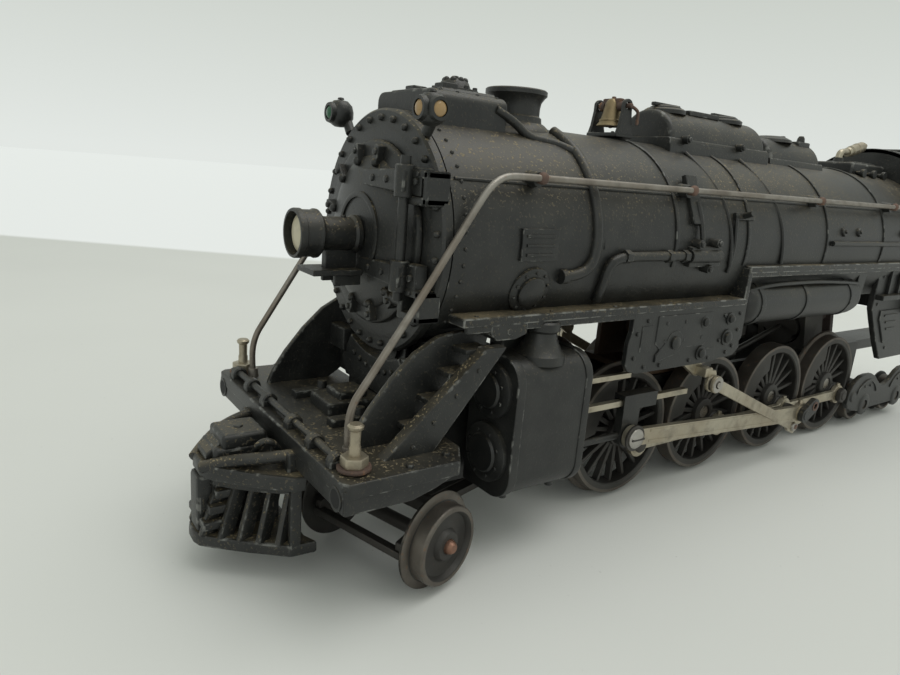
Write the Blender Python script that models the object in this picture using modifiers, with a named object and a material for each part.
# Model steam locomotive, 2-8-4, O gauge. Metres, +X forward, +Y left, +Z up.
# The flanges of the wheels stand on z = 0. Build: blender --background --python part.py
import math

import bmesh
import bpy
from mathutils import Matrix, Vector

# ---- Sizes -----------------------------------------------------------------------------
gap = 0.0003             # between two pieces that touch
running_gap = 0.0003     # round a pin or an axle that turns
sides = (1, -1)          # left is +Y

# Wheels and track
wheel_back_y = 0.01395   # half the back-to-back distance
wheel_width = 0.00465
flange_width = 0.00115
driver_tread_radius = 0.0176
driver_flange_radius = 0.0187
driver_pitch = 0.0367
flanged_drivers = (0, 3)     # the two between run blind
driver_front_x = 0.0500
driver_count = 4
driven_driver = 2        # counted from 0 at the front
driver_rim_inner = 0.0148
driver_hub_radius = 0.0042
driver_axle_radius = 0.0020
driver_spokes = 12
spoke_thickness = 0.0011
driver_web_y = (0.0150, 0.0172)
boss_radius = 0.0034
boss_proud = 0.0003      # crank boss beyond the rim's face

# Rods, all measured outward from the centre line
crank_radius = 0.0065
left_crank_angle = math.radians(-143)
quartering = math.radians(90)
crank_pin_radius = 0.0012
rod_thickness = 0.0016
rod_eye_radius = 0.0034
side_rod_y = 0.0193
main_rod_y = 0.0249
main_rod_length = 0.0836
main_rod_widths = (0.0046, 0.0052)
pin_head_radius = 0.0020
pin_head_thickness = 0.0007
hex_head_radius = 0.0029
hex_head_thickness = 0.0020
eccentric_crank_y = main_rod_y + rod_thickness + gap
eccentric_crank_reach = 0.0098
eccentric_crank_width = 0.0050
eccentric_rod_length = 0.0600
eccentric_rod_width = 0.0033
eccentric_rod_eye = 0.0024
eccentric_rod_lean = 0.0044          # how far the loose left rod stands out at its end
link_pivot = (0.0370, 0.0400)        # x, z
link_pin = (0.0275, 0.0325)
link_y = 0.0237

# Crosshead, guides and cylinders
crosshead_z = 0.0207
piston_y = 0.0233
piston_rod_radius = 0.0009
guide_bar_y = (0.0222, 0.0238)
guide_bar_z = (0.0287, 0.0302)
guide_bar_rear_x = 0.0317
valve_bar_z = (0.0360, 0.0373)
valve_bar_rear_x = 0.0560
cylinder_x = (0.0770, 0.0990)
cylinder_y = (0.0140, 0.0300)
cylinder_z = (0.0140, 0.0460)
cylinder_corner = 0.0060
cylinder_cover_radius = 0.0066
saddle_x = (0.0800, 0.0960)

# Boiler and what stands on it
boiler_z = 0.06825
boiler_radius = 0.0255
boiler_wall = 0.0022
boiler_front_x = 0.1147
boiler_open_angle = math.radians(-42)
ring_thickness = 0.0025
ring_inner_radius = 0.0165
ring_bolt_radius = 0.02405
ring_bolts = 24
door_radius = 0.0192
door_depth = 0.0040
board_y = 0.0270
board_thickness = 0.0019
lower_board_z = 0.0551
lower_board_x = (0.0165, 0.1120)
upper_board_z = 0.0638
cab_front_x = -0.0970
cab_rear_x = -0.1500
cab_half_width = 0.0270
cab_wall = 0.0018
cab_floor_z = 0.0440
cab_eaves_z = 0.0860
cab_roof_z = 0.1035
stack_x = 0.0822
stack_top_z = 0.1016
stack_bore = 0.0050
bell_x = 0.0495
bell_pivot_z = 0.1018
bell_mouth_radius = 0.00365
bell_post_y = 0.0042
bell_post_thickness = 0.0010
rail_radius = 0.0007
rail_y = 0.0256
rail_z = 0.0823
rail_boss_y = 0.0234
rail_post_x = (0.0945, 0.0457, -0.0154, -0.0639)

# Deck, pilot and frame
deck_x = (0.1120, 0.1400)
deck_half_width = 0.0350
deck_top_z = 0.0300
deck_thickness = 0.0030
deck_skirt_z = 0.0240
frame_plate_y = (0.0095, 0.0115)
frame_z = (0.0120, 0.0300)
frame_x = (-0.0950, 0.1110)
tail_z = (0.0240, 0.0280)

# Trucks
pilot_pivot_x = 0.0701
pilot_arm = 0.0520
pilot_rest_angle = math.radians(16.3)
pilot_tread_radius = 0.0083
pilot_flange_radius = 0.0102
trailing_pivot_x = -0.0720
trailing_axle_x = (-0.0870, -0.1150)
trailing_tread_radius = 0.0072
trailing_flange_radius = 0.0082
pilot_strap_z = (0.0080, 0.0098)
trailing_tongue_z = (0.0102, 0.0117)   # over the axles
truck_axle_radius = 0.0015
truck_side_y = 0.0198
truck_side_thickness = 0.0018
roller_radius = 0.0026
roller_x = (0.0330, -0.0050)

# Motor
gear_radius = 0.0060
gear_teeth = 16
worm_radius = 0.0025
shaft_tilt = math.radians(15)
shaft_radius = 0.0010
rotor_radius = 0.0068
rotor_length = 0.0140
motor_back = 0.0420      # from the worm to the middle of the rotor

driver_z = driver_flange_radius
face_y = wheel_back_y + wheel_width
ring_x = boiler_front_x + gap
door_x = ring_x + ring_thickness + gap


# ---- Tools -----------------------------------------------------------------------------
for old in list(bpy.data.objects):
    bpy.data.objects.remove(old)
for old in list(bpy.data.collections):
    bpy.data.collections.remove(old)
parts = bpy.data.collections.new("steam_locomotive")
cutters = bpy.data.collections.new("cutters")
bpy.context.scene.collection.children.link(parts)
bpy.context.scene.collection.children.link(cutters)


def new_piece(mesh, name="piece"):
    piece = bpy.data.objects.new(name, mesh)
    parts.objects.link(piece)
    return piece


def box(low, high):
    """A box between two corners."""
    low, high = Vector(low), Vector(high)
    mesh = bmesh.new()
    place = Matrix.Translation((low + high) / 2) @ Matrix.Diagonal((high - low).to_4d())
    bmesh.ops.create_cube(mesh, size=1, matrix=place)
    data = bpy.data.meshes.new("box")
    mesh.to_mesh(data)
    mesh.free()
    return new_piece(data)


def cylinder(radius, start, end, segments=20, end_radius=None):
    """A closed cylinder, or a cone, from one point to another."""
    start, end = Vector(start), Vector(end)
    along = end - start
    mesh = bmesh.new()
    place = Matrix.Translation((start + end) / 2) @ along.to_track_quat("Z", "Y").to_matrix().to_4x4()
    bmesh.ops.create_cone(
        mesh, cap_ends=True, segments=segments, radius1=radius,
        radius2=radius if end_radius is None else end_radius, depth=along.length, matrix=place,
    )
    data = bpy.data.meshes.new("cylinder")
    mesh.to_mesh(data)
    mesh.free()
    return new_piece(data)


def ball(radius, center):
    mesh = bmesh.new()
    bmesh.ops.create_uvsphere(mesh, u_segments=12, v_segments=8, radius=radius,
                              matrix=Matrix.Translation(center))
    data = bpy.data.meshes.new("ball")
    mesh.to_mesh(data)
    mesh.free()
    return new_piece(data)


def turned(profile, base, direction, steps=32, closed=False):
    """A turned shape: (radius, height) points from the top down, on an axis through base."""
    mesh = bmesh.new()
    verts = [mesh.verts.new((radius, 0, height)) for radius, height in profile]
    for a, b in zip(verts, verts[1:]):
        mesh.edges.new((a, b))
    if closed:
        mesh.edges.new((verts[-1], verts[0]))
    data = bpy.data.meshes.new("turned")
    mesh.to_mesh(data)
    mesh.free()
    piece = new_piece(data)
    screw = piece.modifiers.new("screw", "SCREW")
    screw.axis = "Z"
    screw.steps = steps
    screw.render_steps = steps
    screw.use_merge_vertices = True
    screw.merge_threshold = 0.00001
    piece.location = base
    piece.rotation_mode = "QUATERNION"
    piece.rotation_quaternion = Vector(direction).to_track_quat("Z", "Y")
    return piece


planes = {
    "XZ": Matrix(((1, 0, 0), (0, 0, -1), (0, 1, 0))),   # thickness runs along -Y
    "YZ": Matrix(((0, 0, 1), (1, 0, 0), (0, 1, 0))),    # thickness runs along +X
    "XY": Matrix.Identity(3),                           # thickness runs along +Z
}


def plate(outlines, plane, low, high):
    """A flat plate: outlines in a plane, the first one its edge, from low to high across it."""
    curve = bpy.data.curves.new("plate", "CURVE")
    curve.dimensions = "2D"
    curve.fill_mode = "BOTH"
    curve.extrude = (high - low) / 2
    curve.resolution_u = 1
    curve.render_resolution_u = 1
    for outline in outlines:
        spline = curve.splines.new("POLY")
        spline.points.add(len(outline) - 1)
        for point, place in zip(spline.points, outline):
            point.co = (*place, 0, 1)
        spline.use_cyclic_u = True
    piece = new_piece(curve)
    middle = (low + high) / 2
    offset = {"XZ": (0, middle, 0), "YZ": (middle, 0, 0), "XY": (0, 0, middle)}[plane]
    piece.matrix_world = Matrix.Translation(offset) @ planes[plane].to_4x4()
    return as_mesh(piece)


def wire(points, radius):
    curve = bpy.data.curves.new("wire", "CURVE")
    curve.dimensions = "3D"
    curve.bevel_depth = radius
    curve.bevel_resolution = 2
    curve.use_fill_caps = True
    curve.resolution_u = 1
    curve.render_resolution_u = 1
    spline = curve.splines.new("POLY")
    spline.points.add(len(points) - 1)
    for point, place in zip(spline.points, points):
        point.co = (*place, 1)
    return as_mesh(new_piece(curve))


def as_mesh(curve_piece):
    """The curve's shape as a closed mesh, so that it can be cut and joined."""
    bpy.context.view_layer.update()
    evaluated = curve_piece.evaluated_get(bpy.context.evaluated_depsgraph_get())
    data = bpy.data.meshes.new_from_object(evaluated)
    mesh = bmesh.new()
    mesh.from_mesh(data)
    bmesh.ops.remove_doubles(mesh, verts=mesh.verts, dist=0.000001)
    bmesh.ops.recalc_face_normals(mesh, faces=mesh.faces)
    mesh.to_mesh(data)
    mesh.free()
    piece = new_piece(data)
    piece.matrix_world = curve_piece.matrix_world
    bpy.data.objects.remove(curve_piece)
    return piece


def combine(target, operation, pieces):
    for piece in pieces:
        boolean = target.modifiers.new(operation.lower(), "BOOLEAN")
        boolean.operation = operation
        boolean.solver = "EXACT"
        boolean.object = piece
        parts.objects.unlink(piece)
        cutters.objects.link(piece)
        piece.hide_render = True
        piece.display_type = "WIRE"
        piece.name = "cutter"
    return target


def join(target, *pieces):
    return combine(target, "UNION", pieces)


def cut(target, *pieces):
    return combine(target, "DIFFERENCE", pieces)


def arc(center, radius, start, end, steps):
    """Points on an arc, angles in degrees."""
    angles = [math.radians(start + (end - start) * i / steps) for i in range(steps + 1)]
    return [(center[0] + radius * math.cos(a), center[1] + radius * math.sin(a)) for a in angles]


def circle(center, radius, steps=16):
    return arc(center, radius, 0, 360, steps)[:-1]


def name_piece(piece, name, color, roughness, metallic=0.0):
    """Gives a finished piece its name and its material."""
    piece.name = name
    material = bpy.data.materials.new(name)
    material.use_nodes = True
    shader = material.node_tree.nodes["Principled BSDF"]
    shader.inputs["Base Color"].default_value = (*color, 1)
    shader.inputs["Roughness"].default_value = roughness
    shader.inputs["Metallic"].default_value = metallic
    piece.data.materials.append(material)
    return piece


casting = ((0.045, 0.047, 0.050), 0.62)
nickel = ((0.56, 0.53, 0.46), 0.38, 0.9)
dark_steel = ((0.16, 0.16, 0.16), 0.45, 0.8)
bright_steel = ((0.48, 0.47, 0.45), 0.35, 0.9)
plastic = ((0.08, 0.06, 0.05), 0.5)


def mirrored(points, side):
    """The same points on one side of the centre line: y changes sign."""
    return [(x, y * side, z) for x, y, z in points]


def side_box(side, low, high):
    """A box given for the left side, on either side."""
    y = sorted((low[1] * side, high[1] * side))
    return box((low[0], y[0], low[2]), (high[0], y[1], high[2]))


def side_plate(side, outlines, low, high):
    """A plate along the engine between two distances from the centre line."""
    y = sorted((low * side, high * side))
    return plate(outlines, "XZ", y[0], y[1])


# ---- Boiler casting with its cab, boards, domes and tanks -------------------------------
def make_boiler():
    center = (0, boiler_z)
    open_degrees = math.degrees(boiler_open_angle)
    inner = boiler_radius - boiler_wall
    tube = arc(center, boiler_radius, open_degrees, 180 - open_degrees, 32)
    tube += arc(center, inner, 180 - open_degrees, open_degrees, 32)
    shell = plate([tube], "YZ", cab_front_x - 0.0005, boiler_front_x)
    root_y = inner * 0.86
    for side in sides:
        lower_low = lower_board_z - board_thickness
        join(
            shell,
            side_box(side, (lower_board_x[0], root_y, lower_low),
                     (lower_board_x[1], board_y, lower_board_z)),
            side_box(side, (cab_front_x - 0.0005, inner + 0.0006, upper_board_z - board_thickness),
                     (lower_board_x[0] + 0.0005, board_y, upper_board_z)),
            side_box(side, (lower_board_x[0] - 0.0008, inner - 0.0015, lower_low + 0.0004),
                     (lower_board_x[0] + 0.0008, board_y - 0.0001, upper_board_z - 0.0004)),
            side_box(side, (0.0955, 0.0226, 0.0500),
                     (0.1048, board_y - 0.0002, lower_board_z - 0.0005)),
            cylinder(0.0063, (0.0140, 0.0210 * side, 0.0525), (-0.0530, 0.0210 * side, 0.0525), 16),
            motion_plate(side),
            ashpan_side(side),
        )
        for x in rail_post_x:
            join(shell, side_box(side, (x - 0.0022, 0.0190, rail_z - 0.0052),
                                 (x + 0.0022, rail_boss_y, rail_z + 0.0006)))
    join(shell, heater(), heater_knob(), *domes(), *cab())
    return name_piece(shell, "boiler_shell", *casting)


def motion_plate(side):
    low = 0.0380
    outline = [(0.0150, lower_board_z - 0.0008), (0.0150, 0.0425), (0.0180, 0.0388), (0.0230, low),
               (0.0600, low), (0.0630, 0.0395), (0.0630, 0.0450), (0.0620, lower_board_z - 0.0008)]
    return side_plate(side, [outline], board_y - 0.0016, board_y - 0.0002)


def ashpan_side(side):
    top = upper_board_z - 0.0007
    outline = [(-0.0700, top), (-0.0700, 0.0460), (-0.0855, 0.0265), (-0.1120, 0.0265), (-0.1120, top)]
    return side_plate(side, [outline], 0.0215, 0.0236)


def heater():
    top = 0.0985
    outline = [(-0.0135, 0.0860), (-0.0135, top - 0.002), (-0.0115, top), (0.0115, top),
               (0.0135, top - 0.002), (0.0135, 0.0860)]
    return plate([outline], "YZ", 0.0900, 0.1130)


def heater_knob():
    return cylinder(0.0042, (0.0997, 0, 0.0975), (0.0997, 0, 0.1013), 20, 0.0030)


def domes():
    """The sand dome, the steam dome behind it and the turret box in front of the cab."""
    for half, base, middle, top, x in (
        (0.0095, 0.0860, 0.0935, 0.1030, (-0.0100, 0.0370)),
        (0.0085, 0.0870, 0.0920, 0.1000, (-0.0450, -0.0130)),
    ):
        arch = [(half, base)] + arc((0, middle), half, 0, 180, 12) + [(-half, base)]
        arch = [(y, min(z, top)) for y, z in arch]
        yield plate([arch], "YZ", *x)
    yield box((-0.0930, -0.0075, 0.0880), (-0.0680, 0.0075, 0.0972))


def cab_section(inset):
    """Half-arched outline of the cab, seen from behind."""
    half = cab_half_width - inset
    eaves = cab_eaves_z
    rise = cab_roof_z - inset - eaves
    radius = (half * half + rise * rise) / (2 * rise)
    sweep = math.degrees(math.asin(half / radius))
    return arc((0, eaves + rise - radius), radius, 90 - sweep, 90 + sweep, 16)


def cab():
    outer, inner = cab_section(0), cab_section(cab_wall)
    skin = [(cab_half_width, cab_floor_z)] + outer + [(-cab_half_width, cab_floor_z)]
    room = [(-cab_half_width + cab_wall, cab_floor_z)] + inner[::-1] + [(cab_half_width - cab_wall, cab_floor_z)]
    walls = plate([skin + room], "YZ", cab_rear_x, cab_front_x)
    front = plate([skin], "YZ", cab_front_x - cab_wall, cab_front_x + 0.0001)
    floor = box((-0.1120, -cab_half_width + 0.0005, cab_floor_z), (cab_front_x - 0.0005,
                cab_half_width - 0.0005, cab_floor_z + 0.0018))
    window_z = (0.0690, 0.0820)
    for start in (-0.1230, -0.1400):
        cut(walls, box((start, -0.05, window_z[0]), (start + 0.0140, 0.05, window_z[1])))
    return walls, front, floor


make_boiler()


# ---- Smokebox front --------------------------------------------------------------------
def make_smokebox_front():
    depth = ring_thickness
    ring = turned([(ring_inner_radius, depth), (boiler_radius - 0.0006, depth),
                   (boiler_radius, depth - 0.0006), (boiler_radius, 0), (ring_inner_radius, 0)],
                  (ring_x, 0, boiler_z), (1, 0, 0), 36, closed=True)
    for i in range(ring_bolts):
        angle = 2 * math.pi * (i + 0.5) / ring_bolts
        y = ring_bolt_radius * math.cos(angle)
        z = boiler_z + ring_bolt_radius * math.sin(angle)
        join(ring, cylinder(0.0007, (ring_x + depth - 0.0005, y, z), (ring_x + depth + 0.0007, y, z), 6))
    name_piece(ring, "smokebox_ring", *casting)
    door = turned([(0, door_depth), (0.006, door_depth - 0.0002), (0.0130, door_depth - 0.0012),
                   (door_radius - 0.0012, 0.0014), (door_radius, 0.0012), (door_radius, 0), (0, 0)],
                  (door_x, 0, boiler_z), (1, 0, 0), 32)
    name_piece(door, "smokebox_door", *casting)


def make_headlight():
    z = 0.0680
    back, front = door_x + door_depth + gap, 0.1359
    length = front - back
    house = turned([(0.0043, length), (0.0049, length), (0.0049, length - 0.0046),
                    (0.0043, length - 0.0055), (0.0034, length - 0.0058), (0.0034, 0), (0, 0),
                    (0, 0.0020), (0.0022, 0.0020), (0.0022, length - 0.0032),
                    (0.0043, length - 0.0032)],
                   (back, 0, z), (1, 0, 0), 20, closed=True)
    join(house, box((back, -0.0042, 0.0598), (0.1330, 0.0042, 0.0611)),
         box((back, -0.0012, 0.0605), (0.1290, 0.0012, 0.0655)))
    name_piece(house, "headlight_housing", *casting)
    lens = turned([(0, 0.0022), (0.0025, 0.0020), (0.0040, 0.0014), (0.0040, 0), (0, 0)],
                  (front - 0.0029, 0, z), (1, 0, 0), 24)
    name_piece(lens, "headlight_lens", (0.78, 0.72, 0.52), 0.35)
    bulb = turned([(0, 0.0076), (0.0011, 0.0070), (0.0016, 0.0058), (0.0016, 0.0010),
                   (0.0019, 0.0010), (0.0019, 0), (0, 0)],
                  (back + 0.0020 + gap, 0, z), (1, 0, 0), 16)
    name_piece(bulb, "headlamp_bulb", (0.80, 0.78, 0.70), 0.1)


def make_marker_light(side, name, color):
    center = Vector((0.1174, 0.0189 * side, 0.0929))
    middle = Vector((center.x, 0, boiler_z))
    out = (center - middle).normalized()
    foot = Vector((0.1162, 0, boiler_z)) + out * (boiler_radius + gap)
    lamp = cylinder(0.0011, foot, foot + out * 0.0042, 10)
    join(lamp, ball(0.0030, center), cylinder(0.0017, center, center + Vector((0.0033, 0, 0)), 12))
    name_piece(lamp, name, color, 0.4)


make_smokebox_front()
make_headlight()
make_marker_light(1, "marker_light_left", (0.30, 0.24, 0.14))
make_marker_light(-1, "marker_light_right", (0.02, 0.16, 0.07))


# ---- Stack, bell, whistle, rails and posts ---------------------------------------------
def make_stack():
    base = boiler_z + boiler_radius + gap
    top = stack_top_z - base
    stack = turned([(stack_bore, top), (0.0070, top), (0.0072, top - 0.0006), (0.0067, top - 0.0017),
                    (0.0061, top - 0.0034), (0.0061, 0.0014), (0.0066, 0.0010), (0.0066, 0),
                    (stack_bore, 0)], (stack_x, 0, base), (0, 0, 1), 24, closed=True)
    name_piece(stack, "smoke_stack", *casting)


def make_bell():
    foot_z = boiler_z + boiler_radius + gap
    outer_y = bell_post_y + bell_post_thickness
    bracket = box((bell_x - 0.0032, -outer_y, foot_z), (bell_x + 0.0032, outer_y, foot_z + 0.0010))
    hole = circle((bell_x, bell_pivot_z), 0.0006 + running_gap, 12)
    outline = [(bell_x - 0.0030, foot_z + 0.0004), (bell_x + 0.0030, foot_z + 0.0004)]
    outline += arc((bell_x, bell_pivot_z), 0.0017, 20, 160, 8)
    for side in sides:
        join(bracket, side_plate(side, [outline, hole], bell_post_y, outer_y))
    name_piece(bracket, "bell_bracket", *casting)

    mouth = -0.0050
    bell = turned([(0, 0.0017), (0.0016, 0.0015), (0.0021, 0.0004), (0.0024, -0.0022),
                   (0.0029, -0.0040), (bell_mouth_radius, mouth + 0.0004), (bell_mouth_radius, mouth),
                   (0.0028, mouth + 0.0006), (0.0019, -0.0022), (0.0012, -0.0008), (0, -0.0006)],
                  (bell_x, 0, bell_pivot_z), (0, 0, 1), 16)
    arm_y = outer_y + gap
    join(bell, cylinder(0.0006, (bell_x, -arm_y - 0.0004, bell_pivot_z), (bell_x, arm_y + 0.0008, bell_pivot_z), 12),
         wire([(bell_x, arm_y + 0.0004, bell_pivot_z), (bell_x - 0.0034, arm_y + 0.0004, bell_pivot_z - 0.0012),
               (bell_x - 0.0030, arm_y + 0.0004, bell_pivot_z - 0.0045)], 0.0004),
         cylinder(0.0004, (bell_x, 0, bell_pivot_z - 0.0004), (bell_x, 0, bell_pivot_z + mouth + 0.0006), 8),
         ball(0.0009, (bell_x, 0, bell_pivot_z + mouth + 0.0003)))
    set_joint(bell, "bell", (bell_x, 0, bell_pivot_z), (0.52, 0.44, 0.26), 0.35, 0.9)


def set_joint(piece, name, joint, color, roughness, metallic=0.0):
    """Names a moving piece and puts its origin on its joint. A turned piece stands there already."""
    if not any(modifier.type == "SCREW" for modifier in piece.modifiers):
        bpy.context.view_layer.update()
        piece.data.transform(Matrix.Translation(-Vector(joint)) @ piece.matrix_world)
        piece.matrix_world = Matrix.Translation(joint)
    name_piece(piece, name, color, roughness, metallic)


def make_whistle():
    pipe = wire([(-0.0725, 0, 0.0982), (-0.0735, 0, 0.0992), (-0.0760, 0, 0.1001), (-0.0790, 0, 0.1009)], 0.0012)
    join(pipe, cylinder(0.0019, (-0.0775, 0, 0.1004), (-0.0905, 0, 0.1039), 16))
    name_piece(pipe, "whistle", *nickel)


def make_handrail(side, name):
    clear_y = boiler_radius + rail_radius + gap
    top = [(0.1347, rail_y, deck_top_z + gap), (0.1349, rail_y, 0.0375), (0.1338, rail_y, 0.0412),
           (0.1215, clear_y, 0.0600), (0.1098, clear_y, 0.0780), (0.1072, clear_y, 0.0808),
           (0.1035, rail_y, rail_z), (cab_front_x + 0.0004, rail_y, rail_z)]
    rail = wire(mirrored(top, side), rail_radius)
    for x in rail_post_x:
        join(rail, cylinder(0.0009, (x, (rail_boss_y + gap) * side, rail_z - 0.0002),
                            (x, (rail_y + 0.0009) * side, rail_z - 0.0002), 8))
    name_piece(rail, name, *nickel)


def make_flag_post(side, name):
    x, y, z = 0.1357, 0.0300 * side, deck_top_z + gap
    post = cylinder(0.0031, (x, y, z), (x, y, z + 0.0024), 6)
    join(post, cylinder(0.0011, (x, y, z + 0.0010), (x, y, z + 0.0080), 12),
         cylinder(0.0015, (x, y, z + 0.0075), (x, y, z + 0.0085), 12))
    name_piece(post, name, *nickel)


make_stack()
make_bell()
make_whistle()
for side, word in ((1, "left"), (-1, "right")):
    make_handrail(side, f"handrail_{word}")
    make_flag_post(side, f"flag_post_{word}")


# ---- Deck and pilot --------------------------------------------------------------------
def make_deck():
    rear, front = deck_x
    half = deck_half_width
    plan = [(front, half), (front, -half), (rear + 0.004, -half), (rear, -half + 0.006), (rear, half - 0.006),
            (rear + 0.004, half)]
    deck = plate([plan], "XY", deck_top_z - deck_thickness, deck_top_z)
    join(deck, box((front - 0.003, -half + 0.0002, deck_skirt_z),
                   (front - 0.0002, half - 0.0002, deck_top_z - 0.001)))
    for side in sides:
        skirt = [(front - 0.001, deck_skirt_z), (front - 0.001, 0.0290), (rear + 0.0045, 0.0290),
                 (rear + 0.0045, 0.0270), (rear + 0.012, deck_skirt_z)]
        inner = [(0.1330, 0.0290), (0.1180, 0.0290), (0.1005, 0.0490), (0.1040, 0.0510), (0.1090, 0.0515),
                 (0.1190, 0.0480), (0.1280, 0.0390)]
        outer = [(0.1297, 0.0290), (0.1180, 0.0290), (0.1020, 0.0495), (0.1072, 0.0495)]
        join(deck, side_plate(side, [skirt], half - 0.0045, half - 0.0002),
             side_plate(side, [inner], 0.0205, 0.0222), side_plate(side, [outer], 0.0262, 0.0292))
        for step in (0.25, 0.5, 0.75):
            x, z = 0.1220 - 0.0160 * step, 0.0300 + 0.0200 * step
            join(deck, side_box(side, (x - 0.0025, 0.0215, z - 0.0012), (x + 0.0035, 0.0270, z)))
    name_piece(deck, "pilot_deck", *casting)


def make_pilot():
    point = [(0.1355, 0.0160), (0.1410, 0.0155), (0.1545, 0.0040), (0.1560, 0.0020)]
    inside = [(0.1386, -0.0130), (0.1386, 0.0130)]
    edge = point + [(x, -y) for x, y in reversed(point)]
    catcher = plate([edge + inside], "XY", 0.0060, 0.0085)
    crown = [(0.1386, 0.0170), (0.1408, 0.0170), (0.1535, 0.0045), (0.1545, 0.0020)]
    crown += [(x, -y) for x, y in reversed(crown)]
    top = deck_skirt_z - gap
    join(catcher, plate([crown], "XY", top - 0.0028, top),
         box((0.1388, -0.0030, 0.0070), (0.1535, 0.0030, top - 0.0010)),
         box((0.1420, -0.0045, top - 0.0005), (0.1510, 0.0045, 0.0290)))
    for side in sides:
        join(catcher, side_box(side, (0.1389, 0.0143, 0.0080), (0.1402, 0.0153, top - 0.0007)))
        for y in (0.0062, 0.0094, 0.0126):
            nose = 0.1541 - (y - 0.0040) * 0.0135 / 0.0115
            bar = [(0.1388, 0.0075), (nose - 0.0004, 0.0075), (nose - 0.0022, top - 0.0010), (0.1388, top - 0.0010)]
            join(catcher, side_plate(side, [bar], y - 0.0007, y + 0.0007))
    name_piece(catcher, "pilot", *casting)


make_deck()
make_pilot()


# ---- Main frame, with the drawbar, and the pickups under it ------------------------------
def make_frame():
    low, high = frame_z
    rear, front = frame_x
    inner = frame_plate_y[0] + 0.0005
    frame = box((rear, frame_plate_y[0], low), (front, frame_plate_y[1], high))
    other_plate = box((rear, -frame_plate_y[1], low), (front, -frame_plate_y[0], high))
    floor = low + 0.0002
    for start, end, bottom, top in ((0.0660, 0.1080, floor, 0.0290), (0.0290, 0.0350, 0.0150, 0.0290),
                                    (-0.0930, -0.0700, floor, 0.0180)):
        join(frame, box((start, -inner, bottom), (end, inner, top)))
    join(frame, other_plate)
    for i in range(driver_count):
        x = driver_front_x - i * driver_pitch
        cut(frame, cylinder(driver_axle_radius + running_gap, (x, -0.02, driver_z), (x, 0.02, driver_z), 12))
    for x, strap_low in ((pilot_pivot_x, pilot_strap_z[0]), (trailing_pivot_x, trailing_tongue_z[0])):
        head = strap_low - gap
        join(frame, cylinder(0.0016, (x, 0, low + 0.001), (x, 0, head - 0.0002), 16),
             cylinder(0.0030, (x, 0, head - 0.0014), (x, 0, head), 16))
    drawbar_x = -0.1460
    join(frame, box((-0.1480, -0.0060, tail_z[0]), (-0.0900, 0.0060, tail_z[1])),
         box((-0.0940, -inner + 0.0001, 0.0170), (-0.0895, inner - 0.0001, tail_z[1] - 0.0005)),
         cylinder(0.0015, (drawbar_x, 0, tail_z[0] + 0.001), (drawbar_x, 0, 0.0200), 16),
         cylinder(0.0026, (drawbar_x, 0, 0.0193), (drawbar_x, 0, 0.0205), 16))
    name_piece(frame, "motor_frame", *dark_steel)

    bar_top = tail_z[0] - gap
    half = 0.0034
    strap = arc((drawbar_x, 0), half, -90, 90, 10) + arc((-0.1526, 0), half, 90, 270, 10)
    drawbar = plate([strap, circle((drawbar_x, 0), 0.0015 + running_gap, 16), circle((-0.1526, 0), 0.0016, 16)],
                    "XY", 0.0208, bar_top)
    set_joint(drawbar, "drawbar", (drawbar_x, 0, (0.0208 + bar_top) / 2), *dark_steel)


def make_pickups():
    top = frame_z[0] - gap
    pickup = box((-0.0160, -0.0080, top - 0.0022), (0.0440, 0.0080, top))
    inner = 0.0042
    for x, word in zip(roller_x, ("front", "rear")):
        z = roller_radius + 0.0004
        for side in sides:
            arm = arc((x, z), 0.0018, -160, -20, 6) + [(x + 0.0026, top - 0.001), (x - 0.0026, top - 0.001)]
            join(pickup, side_plate(side, [arm], inner, inner + 0.0010))
        join(pickup, cylinder(0.0008, (x, -inner - 0.0005, z), (x, inner + 0.0005, z), 12))
        half = inner - gap
        roller = turned([(0.0008 + running_gap, half), (roller_radius, half), (roller_radius, -half),
                         (0.0008 + running_gap, -half)], (x, 0, z), (0, 1, 0), 24, closed=True)
        name_piece(roller, f"pickup_roller_{word}", *bright_steel)
    name_piece(pickup, "pickup_plate", *plastic)


make_frame()
make_pickups()


# ---- Cylinders, guides and crossheads ----------------------------------------------------
def make_cylinders():
    rear, front = cylinder_x
    block = box((saddle_x[0], -0.0200, frame_z[1] + gap), (saddle_x[1], 0.0200, 0.0400))
    for side in sides:
        y = [value * side for value in cylinder_y]
        z = cylinder_z
        r = cylinder_corner
        corner = [(y[1] - r * side, z[0] + r), (y[1] - r * side, z[1] - r)]
        bottom = arc(corner[0], r, -90, 0 if side == 1 else -180, 6)
        top = arc(corner[1], r, 0 if side == 1 else 180, 90, 6)
        outline = [(y[0], z[0])] + bottom + top + [(y[0], z[1])]
        join(block, plate([outline], "YZ", rear, front),
             side_box(side, (saddle_x[0] + 0.0002, 0.0152, 0.0390), (saddle_x[1] - 0.0002, 0.0198, 0.0508)),
             cylinder(0.0050, (0.0886, 0.0240 * side, 0.0450), (0.0886, 0.0240 * side, 0.0526), 20, 0.0034),
             cylinder(0.0024, (rear + 0.001, piston_y * side, crosshead_z),
                      (rear - 0.0022, piston_y * side, crosshead_z), 16))
        for cover_z in (0.0238, 0.0380):
            join(block, cylinder(cylinder_cover_radius, (front - 0.0005, 0.0223 * side, cover_z),
                                 (front + 0.0018, 0.0223 * side, cover_z), 18))
        cut(block, cylinder(piston_rod_radius + running_gap + 0.0001, (rear - 0.004, piston_y * side, crosshead_z),
                            (front - 0.0010, piston_y * side, crosshead_z), 12))
    name_piece(block, "cylinder_block", *casting)


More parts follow.
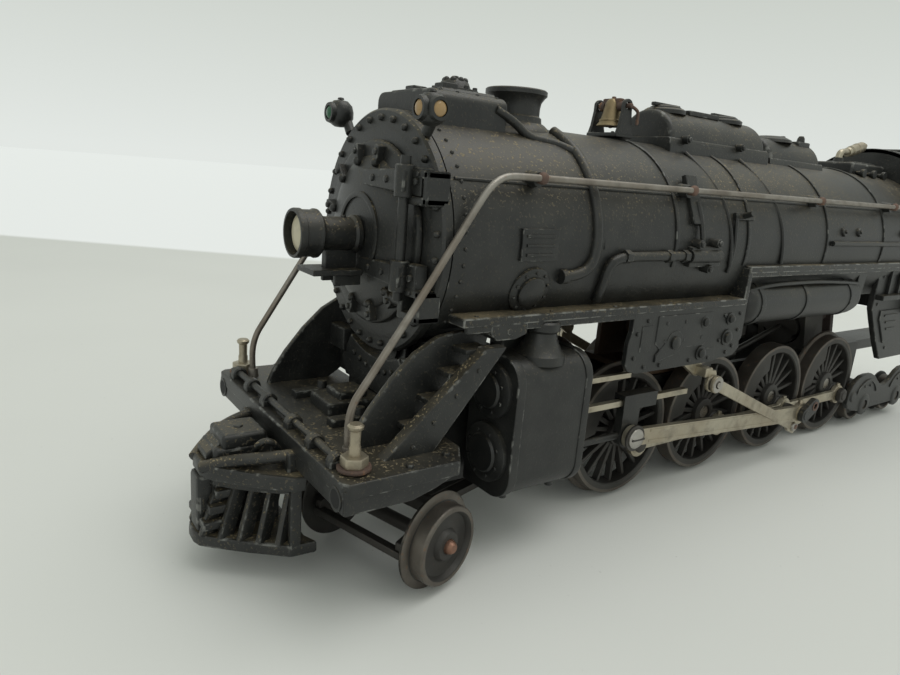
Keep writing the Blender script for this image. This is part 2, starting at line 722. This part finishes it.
def make_guides(side, name):
    front = cylinder_x[0] - gap
    y = guide_bar_y
    bars = side_box(side, (guide_bar_rear_x, y[0], guide_bar_z[0]), (front, y[1], guide_bar_z[1]))
    join(bars, side_box(side, (valve_bar_rear_x, y[0] + 0.0002, valve_bar_z[0]),
                        (front - 0.0002, y[1] - 0.0002, valve_bar_z[1])),
         side_box(side, (front - 0.0020, y[0] + 0.0001, guide_bar_z[0] + 0.0003),
                  (front - 0.0001, y[1] - 0.0001, valve_bar_z[1] - 0.0003)))
    name_piece(bars, name, *nickel)


def crank_offset(side, radius=crank_radius, turn=0.0):
    """Where a crank pin of this side stands from its axle, x and z."""
    angle = left_crank_angle + (0 if side == 1 else quartering) + turn
    return radius * math.cos(angle), radius * math.sin(angle)


def driver_x(index):
    return driver_front_x - index * driver_pitch


def wrist_x(side):
    """Where the crosshead pin stands: the main rod reaches it from the driven wheel's pin."""
    dx, dz = crank_offset(side)
    rise = crosshead_z - (driver_z + dz)
    return driver_x(driven_driver) + dx + math.sqrt(main_rod_length ** 2 - rise ** 2)


def make_crosshead(side, name):
    x = wrist_x(side)
    outer_y = main_rod_y - gap
    block_z = (guide_bar_z[0] - 0.0010, guide_bar_z[1] + 0.0014)
    body = side_box(side, (x - 0.0092, 0.0212, block_z[0]), (x + 0.0034, outer_y, block_z[1]))
    cut(body, side_box(side, (x - 0.02, guide_bar_y[0] - gap, guide_bar_z[0] - gap),
                       (x + 0.02, guide_bar_y[1] + gap, guide_bar_z[1] + gap)))
    inner_y = side_rod_y + rod_thickness + gap + pin_head_thickness + gap
    join(body, side_box(side, (x - 0.0030, inner_y, crosshead_z - 0.001),
                        (x + 0.0032, outer_y - 0.0001, block_z[0] + 0.0005)),
         cylinder(0.0034, (x, inner_y * side, crosshead_z), (x, (outer_y - 0.0002) * side, crosshead_z), 20),
         cylinder(piston_rod_radius, (x + 0.0020, piston_y * side, crosshead_z),
                  (x + 0.0260, piston_y * side, crosshead_z), 12))
    set_joint(body, name, (x, piston_y * side, crosshead_z), *dark_steel)


make_cylinders()
for side, word in ((1, "left"), (-1, "right")):
    make_guides(side, f"guide_bars_{word}")
    make_crosshead(side, f"crosshead_{word}")


# ---- Driving wheels ----------------------------------------------------------------------
def wheel_windows(crank):
    """The openings between spokes, without those that the counterweight fills."""
    windows = []
    outer, inner = driver_rim_inner - 0.0008, driver_hub_radius + 0.0010
    for i in range(driver_spokes):
        middle = 2 * math.pi * (i + 0.5) / driver_spokes
        away = math.cos(middle - crank - math.pi)
        if away > 0.80:
            continue
        half_outer = math.pi / driver_spokes - spoke_thickness / 2 / outer
        half_inner = math.pi / driver_spokes - spoke_thickness / 2 / inner
        start = inner if math.cos(middle - crank) < 0.80 else crank_radius + boss_radius + 0.0002
        if start > inner:
            half_inner = math.pi / driver_spokes - spoke_thickness / 2 / start
        corner = [(start, -half_inner), (outer, -half_outer), (outer, half_outer), (start, half_inner)]
        windows.append([(r * math.cos(middle + a), r * math.sin(middle + a)) for r, a in corner])
    return windows


def make_driver(index, side, name):
    x = driver_x(index)
    back, front = wheel_back_y, face_y
    crank = left_crank_angle + (0 if side == 1 else quartering)
    dx, dz = crank_offset(side)
    pin = Vector((x + dx, 0, driver_z + dz))

    def across(y, place=None):
        place = pin if place is None else place
        return (place.x, y * side, place.z)

    axle = Vector((x, 0, driver_z))
    web = [[(x + a, driver_z + b) for a, b in outline]
           for outline in [circle((0, 0), driver_rim_inner + 0.0006, 20)] + wheel_windows(crank)]
    wheel = side_plate(side, web, *driver_web_y)
    tread = [(driver_rim_inner, wheel_width), (driver_tread_radius - 0.0002, wheel_width)]
    flange = [(driver_tread_radius, flange_width), (driver_flange_radius, flange_width - 0.0003),
              (driver_flange_radius, 0)]
    blind = [(driver_tread_radius, 0)]
    tyre = turned(tread + (flange if index in flanged_drivers else blind) + [(driver_rim_inner, 0)],
                  across(back, axle), (0, side, 0), 24, closed=True)
    boss_y = front + boss_proud
    join(wheel, tyre, cylinder(driver_hub_radius, across(back + 0.0003, axle), across(front, axle), 12),
         cylinder(boss_radius, across(driver_web_y[0] + 0.0003), across(boss_y), 12))
    cut(wheel, cylinder(driver_axle_radius + gap, across(back - 0.01, axle), across(front + 0.01, axle), 12))
    side_rod_outer = side_rod_y + rod_thickness
    if index == driven_driver:
        join(wheel, cylinder(crank_pin_radius, across(boss_y - 0.001), across(eccentric_crank_y - gap), 10),
             cylinder(pin_head_radius, across(side_rod_outer + gap), across(main_rod_y - gap), 12))
    elif index == driver_count - 1:
        join(wheel, cylinder(crank_pin_radius, across(boss_y - 0.001), across(side_rod_outer + 0.001), 10),
             cylinder(hex_head_radius, across(side_rod_outer + gap),
                      across(side_rod_outer + gap + hex_head_thickness), 6))
    else:
        join(wheel, cylinder(crank_pin_radius, across(boss_y - 0.001), across(side_rod_outer + gap + 0.0003), 10),
             cylinder(pin_head_radius, across(side_rod_outer + gap),
                      across(side_rod_outer + gap + pin_head_thickness), 12))
    set_joint(wheel, name, axle, (0.20, 0.20, 0.20), 0.5, 0.7)


def make_axle(index, name):
    half = face_y - gap
    x = driver_x(index)
    axle = cylinder(driver_axle_radius, (x, -half, driver_z), (x, half, driver_z), 20)
    set_joint(axle, name, (x, 0, driver_z), *bright_steel)


for number in range(driver_count):
    make_axle(number, f"driver_axle_{number + 1}")
    for side, word in ((1, "left"), (-1, "right")):
        make_driver(number, side, f"driver_wheel_{word}_{number + 1}")


# ---- Rods ----------------------------------------------------------------------------------
def make_side_rod(side, name):
    dx, dz = crank_offset(side)
    z = driver_z + dz
    pins = [driver_x(i) + dx for i in range(driver_count)]
    half = 0.0016
    reach = math.degrees(math.asin(half / rod_eye_radius))
    top = []
    for i, x in enumerate(reversed(pins)):
        start = 180 if i == 0 else 180 - reach
        end = 0 if i == driver_count - 1 else reach
        top += arc((x, z), rod_eye_radius, start, end, 6)
    bottom = [(x, 2 * z - height) for x, height in reversed(top)][1:-1]
    holes = [circle((x, z), crank_pin_radius + running_gap, 12) for x in pins]
    rod = side_plate(side, [top + bottom] + holes, side_rod_y, side_rod_y + rod_thickness)
    pin = (driver_x(0) + dx, side_rod_y * side, z)
    set_joint(rod, name, pin, *nickel)


def slanted(points, start, angle):
    """Points given along a rod, turned to its slope and moved to its start."""
    c, s = math.cos(angle), math.sin(angle)
    return [(start[0] + a * c - b * s, start[1] + a * s + b * c) for a, b in points]


def make_main_rod(side, name):
    dx, dz = crank_offset(side)
    big = (driver_x(driven_driver) + dx, driver_z + dz)
    angle = math.asin((crosshead_z - big[1]) / main_rod_length)
    eye = rod_eye_radius + 0.0002
    rear, front = main_rod_widths[1] / 2, main_rod_widths[0] / 2
    small = 0.0030
    a_rear = math.degrees(math.asin(rear / eye))
    a_front = math.degrees(math.asin(front / small))
    outline = arc((0, 0), eye, a_rear, 360 - a_rear, 20) + \
        arc((main_rod_length, 0), small, a_front - 180, 180 - a_front, 16)
    hole = circle((0, 0), crank_pin_radius + running_gap, 16)
    rod = side_plate(side, [slanted(outline, big, angle), slanted(hole, big, angle)],
                     main_rod_y, main_rod_y + rod_thickness)
    wrist = (wrist_x(side), crosshead_z)
    outer = main_rod_y + rod_thickness
    join(rod, cylinder(0.0026, (wrist[0], (outer - 0.0004) * side, wrist[1]),
                       (wrist[0], (outer + 0.0012) * side, wrist[1]), 20))
    set_joint(rod, name, (big[0], main_rod_y * side, big[1]), *nickel)


def make_eccentric_crank(side, name):
    dx, dz = crank_offset(side)
    x, z = driver_x(driven_driver), driver_z
    tip = crank_offset(side, eccentric_crank_reach, math.radians(-29))
    start, end = Vector((dx, dz)), Vector(tip)
    along = (end - start).normalized()
    angle = math.atan2(along.y, along.x)
    half = eccentric_crank_width / 2
    turn = math.degrees(angle)
    outline = arc((x + start.x, z + start.y), half, turn + 90, turn + 270, 10) + \
        arc((x + end.x, z + end.y), half, turn - 90, turn + 90, 10)
    hole = circle((x + end.x, z + end.y), 0.0010, 12)
    crank = side_plate(side, [outline, hole], eccentric_crank_y, eccentric_crank_y + rod_thickness)
    set_joint(crank, name, (x, eccentric_crank_y * side, z), (0.05, 0.045, 0.04), 0.6, 0.4)
    return x + end.x, z + end.y


def make_link(side, name):
    pivot, pin = link_pivot, link_pin
    angle = math.degrees(math.atan2(pin[1] - pivot[1], pin[0] - pivot[0]))
    knee = (pin[0] + 0.0030, pin[1] + 0.0034)
    half = 0.0020
    outline = arc(pivot, half, angle + 90, angle + 270, 8) + arc(knee, half, angle - 90, angle + 90, 8)
    top_y = link_y + 0.0012
    arm = side_plate(side, [outline, circle(pivot, 0.0008, 10)], link_y, top_y)
    outer = eccentric_crank_y + rod_thickness
    join(arm, side_box(side, (pin[0] + 0.0006, link_y + 0.0001, pin[1] + 0.0018),
                       (pin[0] + 0.0040, outer - 0.0001, pin[1] + 0.0046)),
         side_box(side, (pin[0] - 0.0016, board_y + 0.0001, pin[1] - 0.0010),
                  (pin[0] + 0.0030, outer - 0.0002, pin[1] + 0.0040)),
         cylinder(0.0025, (pin[0], (board_y + 0.0002) * side, pin[1]), (pin[0], outer * side, pin[1]), 20),
         cylinder(0.0008, (pin[0], (outer - 0.001) * side, pin[1]),
                  (pin[0], (outer + gap + 0.0014) * side, pin[1]), 12))
    set_joint(arm, name, (pivot[0], link_y * side, pivot[1]), *nickel)


def make_eccentric_rod(side, name, lean, angle):
    """The rod from the link's pin back to the eccentric crank, flat, leaning out by its end."""
    eye = eccentric_rod_eye
    half = eccentric_rod_width / 2
    a = math.degrees(math.asin(half / eye))
    length = math.sqrt(eccentric_rod_length ** 2 - lean ** 2)
    outline = arc((0, 0), eye, 180 + a, 540 - a, 16) + arc((-length, 0), eye, a, 360 - a, 16)
    hole = circle((0, 0), 0.0008 + running_gap, 12)
    inner = eccentric_crank_y + rod_thickness + gap
    turned_points = [slanted(points, link_pin, angle) for points in (outline, hole)]
    rod = side_plate(side, turned_points, inner, inner + 0.0011)
    for vert in rod.data.vertices:
        distance = math.hypot(vert.co.x - link_pin[0], vert.co.y - link_pin[1])
        vert.co.z -= side * lean * max(0.0, distance - eye) / (length - eye)
    end = slanted([(-length, 0)], link_pin, angle)[0]
    tip_y = inner + lean
    join(rod, cylinder(0.0016, (end[0], (tip_y + 0.0006) * side, end[1]), (end[0], (tip_y + 0.0017) * side, end[1]), 12))
    name_piece(rod, name, (0.46, 0.42, 0.40), 0.5, 0.6)


for side, word in ((1, "left"), (-1, "right")):
    make_side_rod(side, f"side_rod_{word}")
    make_main_rod(side, f"main_rod_{word}")
    crank_end = make_eccentric_crank(side, f"eccentric_crank_{word}")
    make_link(side, f"link_{word}")
    if side == 1:
        make_eccentric_rod(side, f"eccentric_rod_{word}", eccentric_rod_lean, math.radians(22))
    else:
        slope = math.atan2(link_pin[1] - crank_end[1], link_pin[0] - crank_end[0])
        make_eccentric_rod(side, f"eccentric_rod_{word}", 0.0, slope)


# ---- Motor, gear and reversing unit --------------------------------------------------------
gear_x, gear_z = driver_x(driven_driver), driver_z
shaft_way = Vector((math.cos(shaft_tilt), 0, -math.sin(shaft_tilt)))
worm_place = Vector((gear_x, 0, gear_z)) + \
    (gear_radius + worm_radius + gap) * Vector((math.sin(shaft_tilt), 0, math.cos(shaft_tilt)))
rotor_place = worm_place - motor_back * shaft_way


def make_gear():
    outline = []
    for i in range(gear_teeth):
        for radius, step in ((gear_radius - 0.0009, 0.0), (gear_radius - 0.0009, 0.3),
                             (gear_radius, 0.45), (gear_radius, 0.8)):
            angle = 2 * math.pi * (i + step) / gear_teeth
            outline.append((gear_x + radius * math.cos(angle), gear_z + radius * math.sin(angle)))
    bore = circle((gear_x, gear_z), driver_axle_radius + gap, 20)
    gear = plate([outline, bore], "XZ", -0.0030, 0.0030)
    set_joint(gear, "worm_gear", (gear_x, 0, gear_z), (0.50, 0.38, 0.16), 0.4, 0.9)


def along_shaft(distance):
    return worm_place - distance * shaft_way


def make_motor():
    armature = cylinder(shaft_radius, along_shaft(-0.0080), along_shaft(motor_back + 0.0165), 12)
    join(armature, cylinder(worm_radius, along_shaft(-0.0045), along_shaft(0.0045), 16),
         cylinder(rotor_radius, along_shaft(motor_back - rotor_length / 2),
                  along_shaft(motor_back + rotor_length / 2), 28),
         cylinder(0.0036, along_shaft(motor_back + 0.0065), along_shaft(motor_back + 0.0100), 20))
    for turn in range(3):
        angle = 2 * math.pi * turn / 3
        slot = Vector((math.sin(shaft_tilt), 0, math.cos(shaft_tilt))) * math.cos(angle)
        slot += Vector((0, math.sin(angle), 0))
        reach = slot * (rotor_radius + 0.0010)
        cut(armature, cylinder(0.0022, along_shaft(motor_back - rotor_length / 2 - 0.001) + reach,
                               along_shaft(motor_back + 0.0064) + reach, 12))
    set_joint(armature, "armature", worm_place, (0.42, 0.22, 0.12), 0.4, 0.8)

    turn = Matrix.Translation(rotor_place) @ Matrix.Rotation(shaft_tilt, 4, "Y")
    field = box((-0.0060, -0.0090, -0.0100), (0.0060, 0.0090, 0.0120))
    field.data.transform(turn)
    cut(field, cylinder(rotor_radius + 0.0005, along_shaft(motor_back - 0.02), along_shaft(motor_back + 0.02), 28))
    name_piece(field, "motor_field", (0.30, 0.29, 0.28), 0.5, 0.7)

    brushes = box((-0.0150, -0.0085, -0.0085), (-0.0128, 0.0085, 0.0085))
    brushes.data.transform(turn)
    for side in sides:
        tube = box((-0.0145, 0.0052 * side - 0.0016, -0.0016), (-0.0105, 0.0052 * side + 0.0016, 0.0016))
        tube.data.transform(turn)
        join(brushes, tube)
    cut(brushes, cylinder(shaft_radius + running_gap, along_shaft(motor_back + 0.005),
                          along_shaft(motor_back + 0.02), 12))
    name_piece(brushes, "brush_plate", *plastic)


def make_reversing_unit():
    foot = frame_z[1] + gap
    unit = box((0.0120, -0.0110, foot), (0.0360, 0.0110, foot + 0.0016))
    join(unit, box((0.0130, -0.0080, foot + 0.0010), (0.0350, -0.0064, 0.0590)),
         box((0.0130, 0.0064, foot + 0.0010), (0.0350, 0.0080, 0.0590)),
         box((0.0132, -0.0079, 0.0560), (0.0348, 0.0079, 0.0588)),
         cylinder(0.0052, (0.0240, 0, 0.0400), (0.0240, 0, 0.0570), 20),
         cylinder(0.0030, (0.0150, -0.0070, 0.0370), (0.0150, 0.0070, 0.0370), 16))
    name_piece(unit, "reversing_unit", (0.45, 0.30, 0.16), 0.5, 0.3)


make_gear()
make_motor()
make_reversing_unit()


# ---- Trucks ----------------------------------------------------------------------------------
def truck_wheelset(place, tread, flange, heading, axle_half):
    """Two flanged wheels on one axle, built straight and then turned to the truck's heading."""
    back, width = wheel_back_y, wheel_width - 0.0003
    half = [(0, axle_half), (truck_axle_radius, axle_half), (truck_axle_radius, back + width),
            (tread, back + width), (tread, back + flange_width), (flange, back + flange_width - 0.0003),
            (flange, back), (truck_axle_radius, back)]
    profile = half + [(radius, -height) for radius, height in reversed(half)]
    return turned(profile, place, (-math.sin(heading), math.cos(heading), 0), 20)


def make_pilot_truck():
    z = pilot_flange_radius
    arm = pilot_arm
    side_y = (0.0110, 0.0126)
    strap = pilot_strap_z
    frame = plate([arc((0, 0), 0.0045, 90, 270, 10) + [(arm - 0.0105, -0.0045), (arm - 0.0105, 0.0045)],
                   circle((0, 0), 0.0016 + running_gap, 16)], "XY", *strap)
    join(frame, box((arm - 0.0115, -side_y[1], strap[0] + 0.0001), (arm - 0.0090, side_y[1], strap[1] + 0.0010)),
         box((arm + 0.0066, -side_y[1], strap[0] + 0.0001), (arm + 0.0085, side_y[1], strap[1])))
    for side in sides:
        cheek = [(arm - 0.0110, z - 0.0024), (arm + 0.0080, z - 0.0024), (arm + 0.0080, z + 0.0012),
                 (arm + 0.0030, z + 0.0030), (arm - 0.0030, z + 0.0030), (arm - 0.0110, z + 0.0012)]
        join(frame, side_plate(side, [cheek], *side_y))
    cut(frame, cylinder(truck_axle_radius + running_gap, (arm, -0.02, z), (arm, 0.02, z), 16))
    heading = Matrix.Translation((pilot_pivot_x, 0, 0)) @ Matrix.Rotation(pilot_rest_angle, 4, "Z")
    turn_with_cutters(frame, heading)
    name_piece(frame, "pilot_truck_frame", *dark_steel)
    place = heading @ Vector((arm, 0, z))
    wheels = truck_wheelset(place, pilot_tread_radius, pilot_flange_radius, pilot_rest_angle, face_y + 0.0012)
    name_piece(wheels, "pilot_wheelset", (0.22, 0.20, 0.18), 0.45, 0.8)


def turn_with_cutters(piece, matrix):
    """Moves a piece and every shape that its modifiers use."""
    for modifier in piece.modifiers:
        if modifier.type == "BOOLEAN":
            modifier.object.matrix_world = matrix @ modifier.object.matrix_world
    piece.matrix_world = matrix @ piece.matrix_world


def make_trailing_truck():
    z = trailing_flange_radius
    front, rear = trailing_axle_x
    pivot = trailing_pivot_x
    tongue = trailing_tongue_z
    frame = plate([arc((pivot, 0), 0.0050, -90, 90, 10) + [(-0.1040, 0.0050), (-0.1040, -0.0050)],
                   circle((pivot, 0), 0.0016 + running_gap, 16)], "XY", *tongue)
    cross = (-0.1035, -0.0985)
    join(frame, box((cross[0], -truck_side_y - 0.0005, tongue[0] + 0.0001),
                    (cross[1], truck_side_y + 0.0005, tongue[1] + 0.0012)))
    for side in sides:
        shape = [(-0.0725, 0.0100), (-0.0728, 0.0140), (-0.0760, 0.0175), (-0.0830, 0.0205), (-0.0900, 0.0200),
                 (-0.0960, 0.0160), (-0.1010, 0.0142), (-0.1060, 0.0160), (-0.1120, 0.0200), (-0.1190, 0.0205),
                 (-0.1250, 0.0175), (-0.1275, 0.0120), (-0.1265, 0.0080), (-0.1220, 0.0060), (-0.0820, 0.0060),
                 (-0.0760, 0.0072)]
        join(frame, side_plate(side, [shape], truck_side_y, truck_side_y + truck_side_thickness))
    for x in (front, rear):
        cut(frame, cylinder(truck_axle_radius + running_gap, (x, -0.03, z), (x, 0.03, z), 16))
    set_joint(frame, "trailing_truck_frame", (pivot, 0, tongue[0]), *casting)
    for x, word in ((front, "front"), (rear, "rear")):
        wheels = truck_wheelset((x, 0, z), trailing_tread_radius, trailing_flange_radius, 0,
                                truck_side_y + truck_side_thickness)
        name_piece(wheels, f"trailing_wheelset_{word}", *dark_steel)


make_pilot_truck()
make_trailing_truck()
